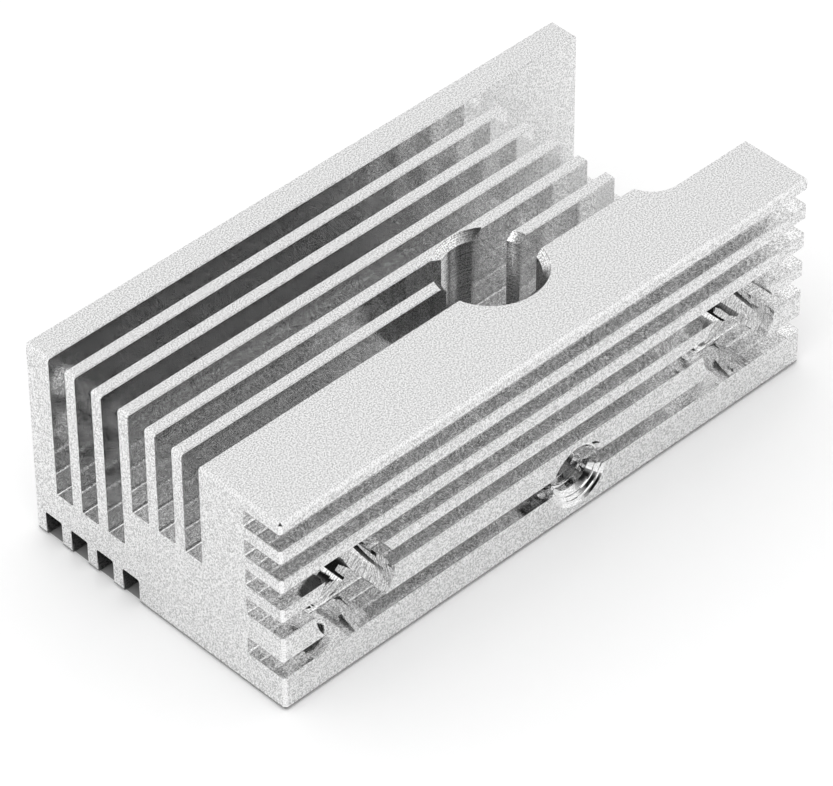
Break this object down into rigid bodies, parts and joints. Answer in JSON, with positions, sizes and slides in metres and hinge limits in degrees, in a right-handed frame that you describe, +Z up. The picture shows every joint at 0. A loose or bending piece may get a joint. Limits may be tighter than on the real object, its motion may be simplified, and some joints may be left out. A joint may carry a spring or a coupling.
{
  "type": "heat sink",
  "caption": "Machined aluminium heat sink block with fins on its top and one side, a bore held by a set screw, an open end pocket and counterbored screw holes across it.",
  "frame": {"origin": "centre of the underside's outline, on the surface that the block stands on", "axes": "+X along the block towards the end with the open pocket, +Y towards the solid wall, away from the side fins, +Z up through the open tops of the slots"},
  "size_m": [0.07, 0.035, 0.0237],
  "materials": {
    "machined_aluminium": "satin"
  },
  "bodies": {
    "root": {"heat_sink_block": "machined_aluminium"}
  },
  "joints": []
}
